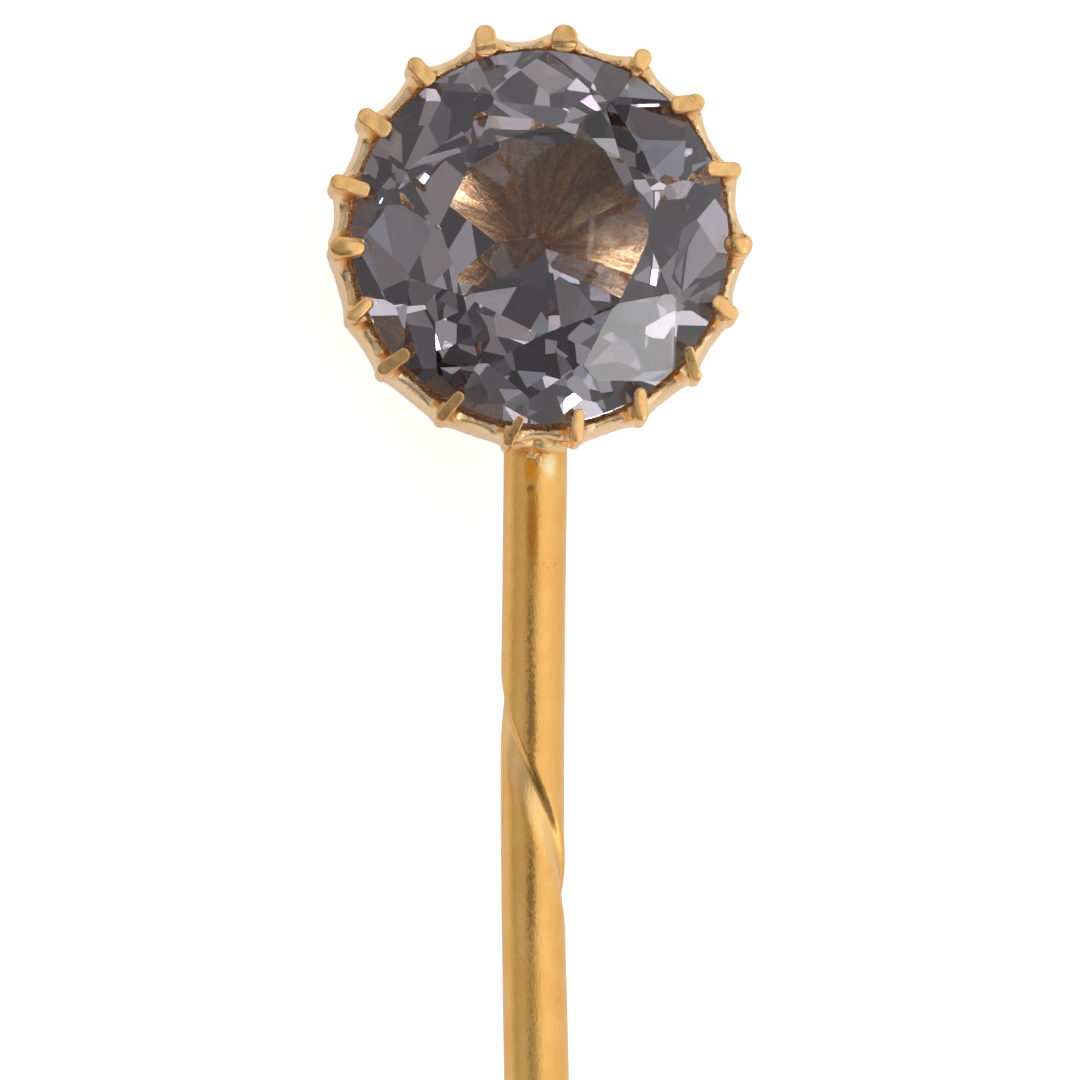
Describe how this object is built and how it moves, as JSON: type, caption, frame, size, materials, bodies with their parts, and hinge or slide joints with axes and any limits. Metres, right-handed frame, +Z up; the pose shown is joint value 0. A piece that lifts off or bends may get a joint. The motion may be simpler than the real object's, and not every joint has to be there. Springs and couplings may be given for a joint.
{
  "type": "stick pin with a faceted stone",
  "caption": "Gold stick pin: a round faceted grey-violet stone held by claws in a fluted cup, on a long round stem with one helical twist, tapering to a point.",
  "frame": {"origin": "centre of the cup's flat back, on the surface that the pin lies on", "axes": "+Z up through the stone, from the cup's back to the stone's table; the stem runs from the cup towards -Y; +X across"},
  "size_m": [0.0086, 0.066, 0.0047],
  "materials": {
    "gold": "polished",
    "stone": "polished facets"
  },
  "bodies": {
    "root": {"gold_pin": "gold", "stone": "stone"}
  },
  "joints": []
}
